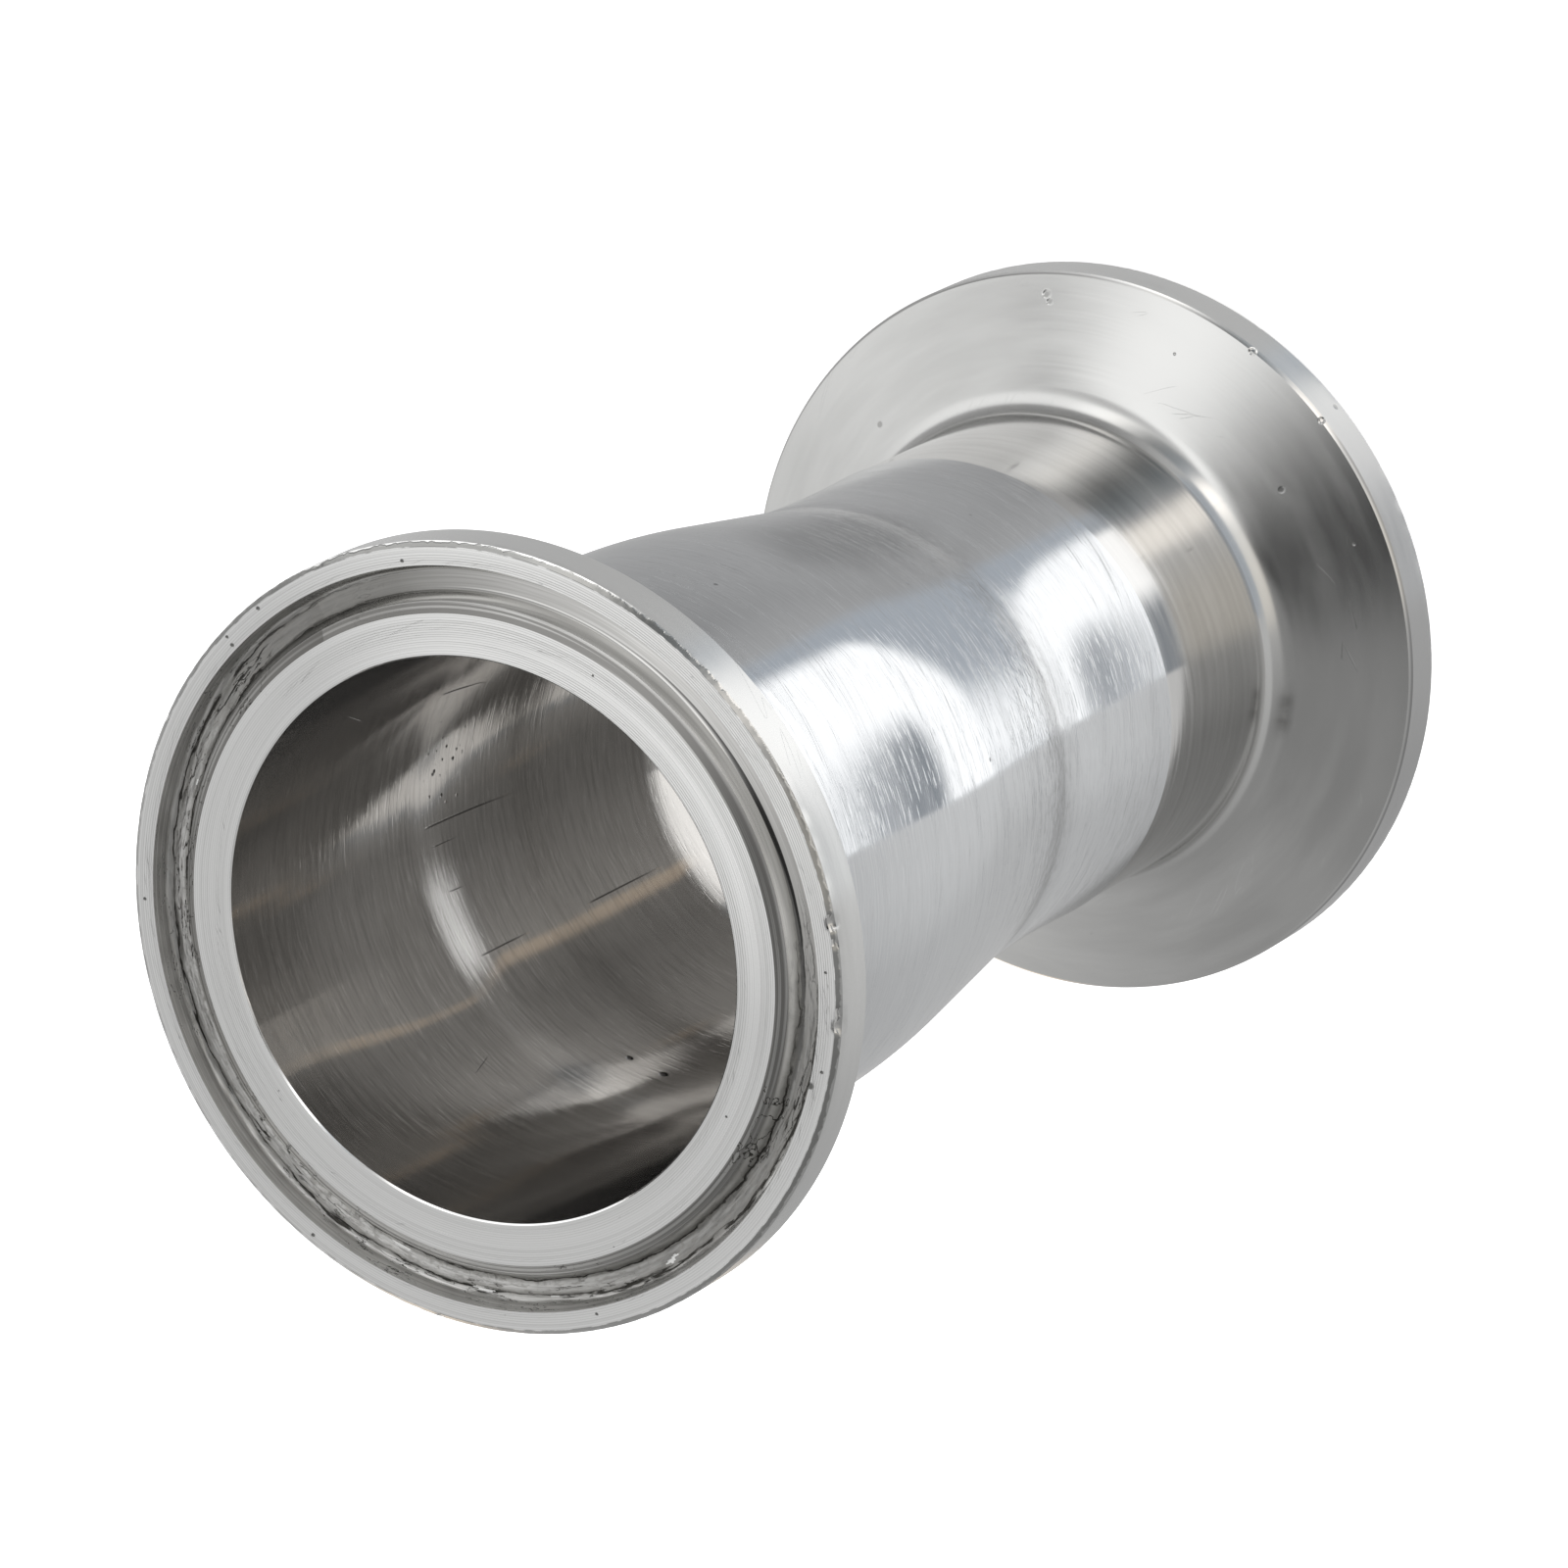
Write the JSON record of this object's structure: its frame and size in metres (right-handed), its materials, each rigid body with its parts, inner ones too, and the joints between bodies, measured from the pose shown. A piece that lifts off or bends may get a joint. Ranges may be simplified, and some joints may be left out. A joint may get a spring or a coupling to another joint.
{
  "type": "sanitary clamp reducer",
  "caption": "Concentric reducer for sanitary tubing: a drawn tapered tube with a turned clamp ferrule, gasket groove and sloped rim welded to each end.",
  "frame": {"origin": "centre of the small end's sealing face, on which the part stands", "axes": "+Z along the common axis, from the small end up to the large end"},
  "size_m": [0.0506, 0.0504, 0.083],
  "materials": {
    "turned_steel": "fine turned finish, satin faces and rims",
    "polished_steel": "belt polished with fine marks round the tube"
  },
  "bodies": {
    "root": {"small_ferrule": "turned_steel", "reducer_body": "polished_steel", "large_ferrule": "turned_steel"}
  },
  "joints": []
}
